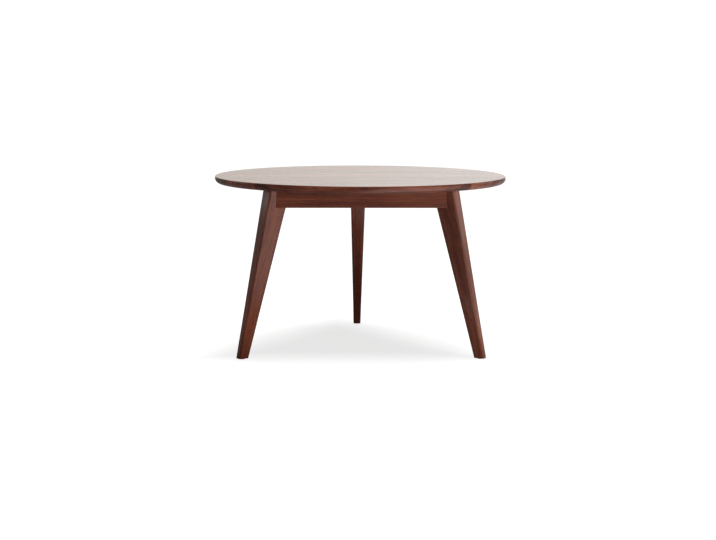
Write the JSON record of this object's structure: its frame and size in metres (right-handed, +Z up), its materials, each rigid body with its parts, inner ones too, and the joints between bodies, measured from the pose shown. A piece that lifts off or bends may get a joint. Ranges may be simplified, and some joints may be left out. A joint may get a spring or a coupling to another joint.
{
  "type": "cocktail table",
  "caption": "Round wooden cocktail table: a thin round top with an under-rounded rim on splayed, tapered legs, with straight rails between the legs under the top.",
  "frame": {"origin": "on the floor, under the middle of the round top", "axes": "+Z up; +Y towards the rear leg; +X to the right as the picture shows the table"},
  "size_m": [0.762, 0.762, 0.457],
  "materials": {
    "top_wood": "satin",
    "base_wood": "satin",
    "block_wood": "matte",
    "zinc_steel": "satin",
    "nylon": "matte"
  },
  "bodies": {
    "root": {"top_board_1": "top_wood", "top_board_2": "top_wood", "top_board_3": "top_wood", "top_board_4": "top_wood", "top_board_5": "top_wood", "top_board_6": "top_wood", "top_board_7": "top_wood", "leg_rear": "base_wood", "leg_front_left": "base_wood", "leg_front_right": "base_wood", "rail_left": "base_wood", "rail_front": "base_wood", "rail_right": "base_wood", "corner_block_rear": "block_wood", "corner_block_front_left": "block_wood", "corner_block_front_right": "block_wood", "hanger_bolts": "zinc_steel", "bolt_washers": "zinc_steel", "bolt_nuts": "zinc_steel", "block_screws": "zinc_steel", "top_clips": "zinc_steel", "clip_rail_screws": "zinc_steel", "clip_top_screws": "zinc_steel", "glide_nails": "zinc_steel", "foot_glide_rear": "nylon", "foot_glide_front_left": "nylon", "foot_glide_front_right": "nylon"}
  },
  "joints": []
}
